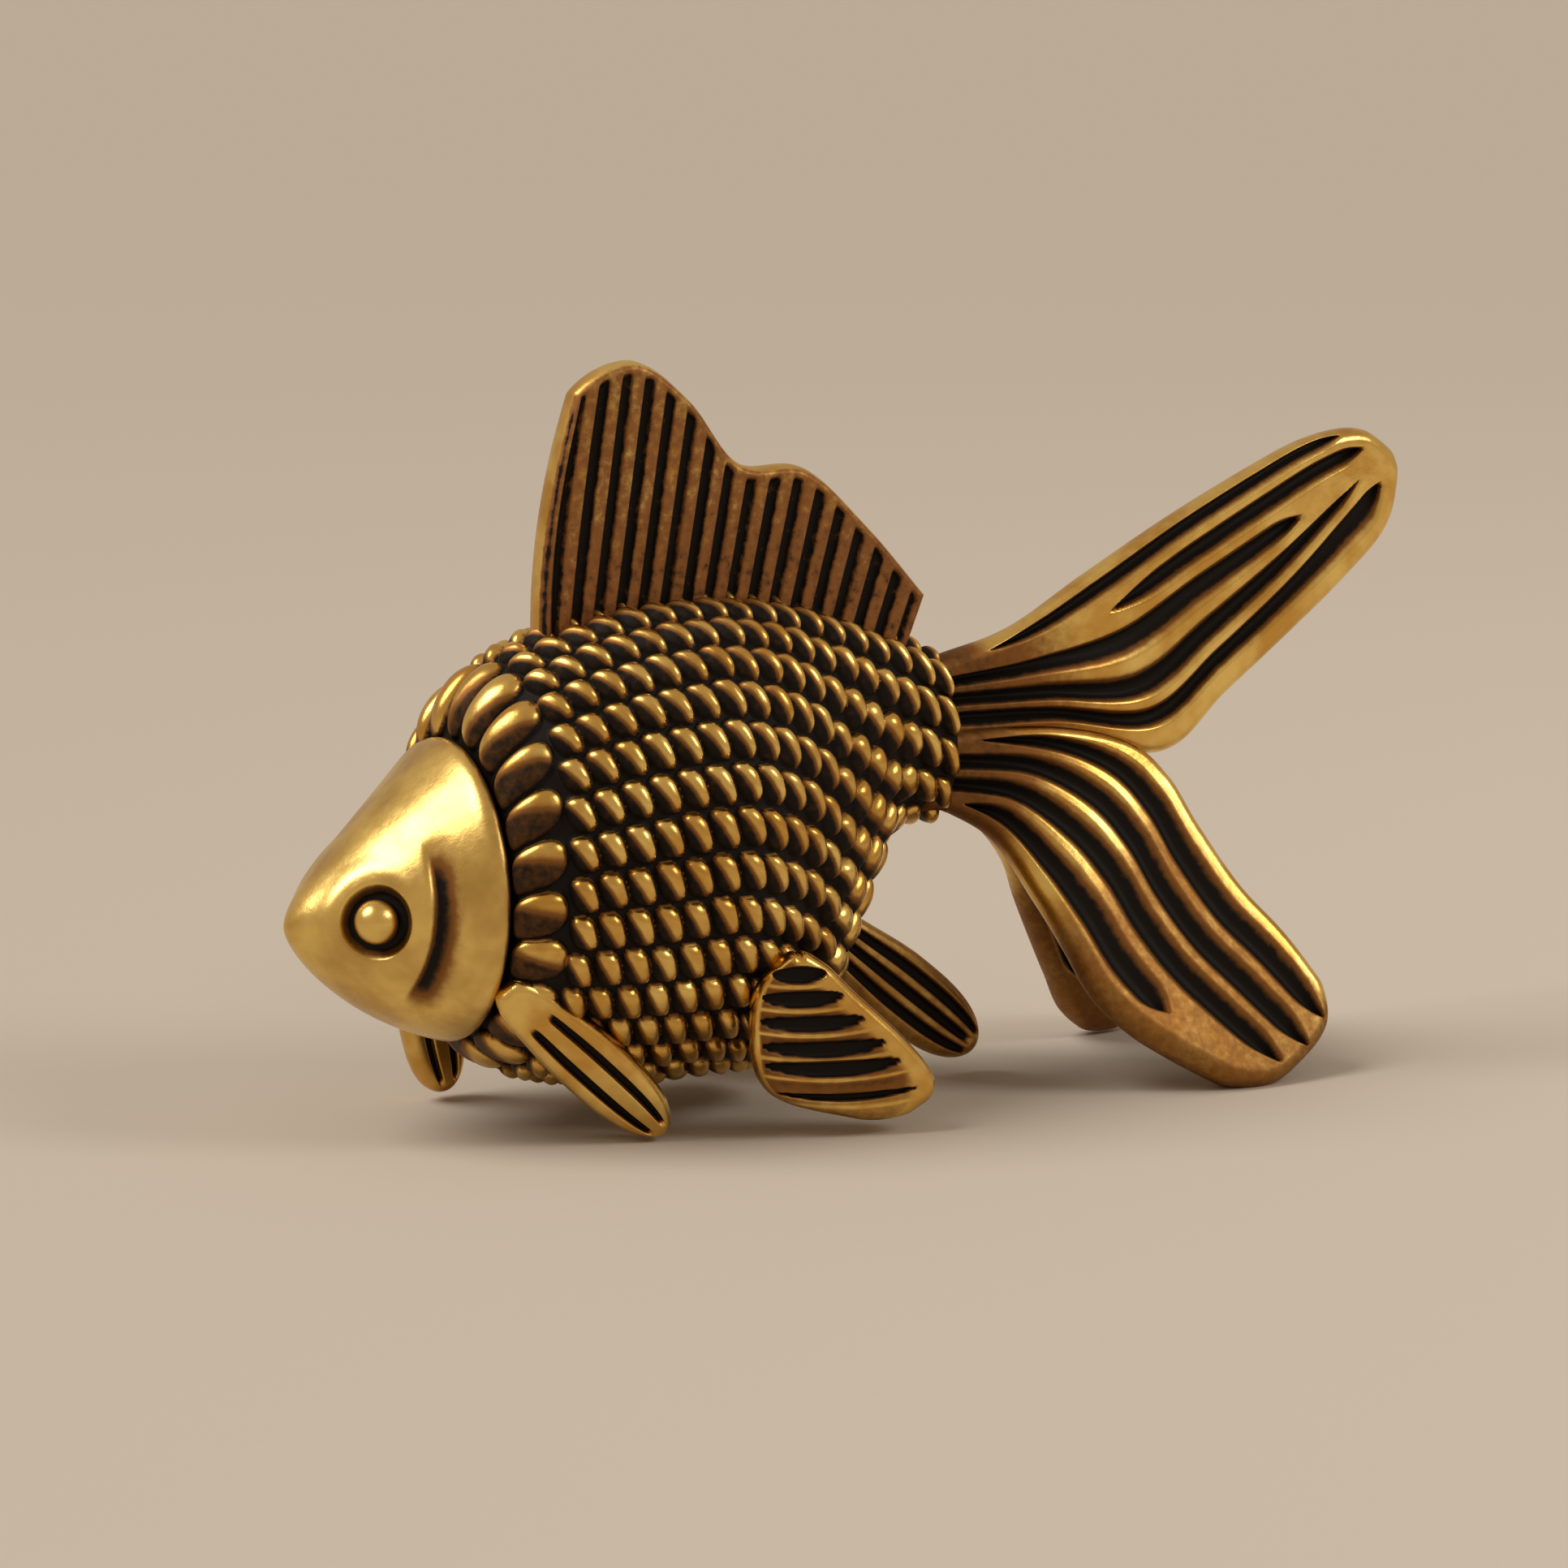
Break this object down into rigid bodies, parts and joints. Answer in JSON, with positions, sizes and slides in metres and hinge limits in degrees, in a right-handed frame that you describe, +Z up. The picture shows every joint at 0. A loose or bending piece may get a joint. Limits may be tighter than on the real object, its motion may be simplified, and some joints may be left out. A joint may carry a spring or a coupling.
{
  "type": "fish figurine",
  "caption": "Small cast brass goldfish ornament with a scaled hollow body, smooth head, ribbed fins and a lobed tail, standing on its fins and tail.",
  "frame": {"origin": "on the table, under the middle of the fish's box", "axes": "+X from the head to the tail, +Z up, the fish's left side towards -Y"},
  "size_m": [0.042, 0.0148, 0.0244],
  "materials": {
    "antique_brass": "antiqued: dark recesses, polished high spots"
  },
  "bodies": {
    "root": {"body_shell": "antique_brass", "head": "antique_brass", "left_eye": "antique_brass", "right_eye": "antique_brass", "dorsal_fin": "antique_brass", "left_pectoral_fin": "antique_brass", "right_pectoral_fin": "antique_brass", "left_pelvic_fin": "antique_brass", "right_pelvic_fin": "antique_brass", "anal_fin": "antique_brass", "upper_tail_lobe": "antique_brass", "left_tail_lobe": "antique_brass", "right_tail_lobe": "antique_brass"}
  },
  "joints": []
}
